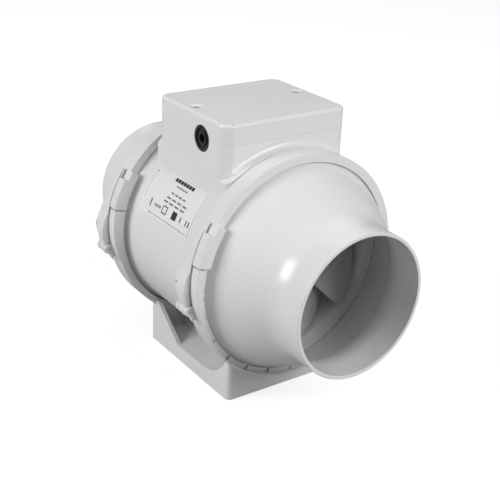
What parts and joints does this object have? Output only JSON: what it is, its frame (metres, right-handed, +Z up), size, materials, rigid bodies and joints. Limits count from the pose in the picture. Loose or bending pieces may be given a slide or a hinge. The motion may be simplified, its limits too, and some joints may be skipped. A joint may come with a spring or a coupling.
{
  "type": "in-line duct extractor fan",
  "caption": "In-line mixed-flow duct extractor fan: motor block with terminal box held between two bell collectors by latched clamp rings on a mounting foot.",
  "frame": {"origin": "centre of the mounting bracket's base face, under the middle of the duct axis", "axes": "+Z up from the base face, +Y along the duct from the inlet towards the outlet, -X the side with the latches and the cable entry"},
  "size_m": [0.1681, 0.246, 0.188],
  "materials": {
    "housing": "gloss moulded",
    "clamp": "satin moulded",
    "vane": "satin moulded",
    "impeller": "satin moulded",
    "seal": "matte",
    "flange_seal": "matte",
    "steel": "zinc plated",
    "aluminium": "die cast",
    "lamination": "varnished",
    "copper": "enamelled wire",
    "lead": "wire insulation",
    "terminal": "moulded",
    "capacitor": "moulded",
    "label": "printed film"
  },
  "bodies": {
    "housing": {"mounting_bracket": "housing", "inlet_collector": "housing", "outlet_collector": "housing", "motor_casing": "housing", "inlet_seal": "flange_seal", "outlet_seal": "flange_seal", "guide_vanes": "vane", "motor_flange": "aluminium", "motor_screws": "steel", "stator_core": "lamination", "stator_windings": "copper", "motor_leads": "lead", "front_bearing": "steel", "rear_bearing": "steel", "cover_seal": "seal", "cable_grommet": "seal", "terminal_block": "terminal", "terminal_screws": "steel", "run_capacitor": "capacitor", "capacitor_clip": "steel", "cord_clamp": "terminal", "cord_clamp_screws": "steel", "rating_label": "label", "clamp_hinge_pins": "steel", "latch_pins": "steel"},
    "rotor": {"rotor_can": "steel", "rotor_cage": "aluminium", "motor_shaft": "steel", "preload_washer": "steel", "shaft_circlip": "steel", "impeller": "impeller", "impeller_screws": "steel"},
    "front_clamp_ring": {"front_clamp": "clamp"},
    "rear_clamp_ring": {"rear_clamp": "clamp"},
    "front_latch_lever": {"front_latch": "clamp"},
    "rear_latch_lever": {"rear_latch": "clamp"},
    "box_cover": {"terminal_cover": "housing", "cover_screws": "steel"}
  },
  "joints": [
    {"name": "impeller_spin", "type": "hinge", "parent": "housing", "child": "rotor", "pos_m": [0, 0, 0.091], "axis": [0, -1, 0], "continuous": true},
    {"name": "front_clamp_hinge", "type": "hinge", "parent": "housing", "child": "front_clamp_ring", "pos_m": [0.0806, -0.0535, 0.091], "axis": [0, 1, 0], "range_deg": [0, 100]},
    {"name": "rear_clamp_hinge", "type": "hinge", "parent": "housing", "child": "rear_clamp_ring", "pos_m": [0.0806, 0.0535, 0.091], "axis": [0, 1, 0], "range_deg": [0, 100]},
    {"name": "front_latch_hinge", "type": "hinge", "parent": "housing", "child": "front_latch_lever", "pos_m": [-0.07961, -0.048, 0.07839], "axis": [0, -1, 0], "range_deg": [0, 125]},
    {"name": "rear_latch_hinge", "type": "hinge", "parent": "housing", "child": "rear_latch_lever", "pos_m": [-0.07961, 0.059, 0.07839], "axis": [0, -1, 0], "range_deg": [0, 125]},
    {"name": "cover_lift", "type": "slide", "parent": "housing", "child": "box_cover", "axis": [0, 0, 1], "range_m": [0, 0.06]}
  ],
  "couplings": [
    {"joint": "front_latch_hinge", "follows": "front_clamp_hinge", "ratio": 1.25},
    {"joint": "rear_latch_hinge", "follows": "rear_clamp_hinge", "ratio": 1.25}
  ]
}
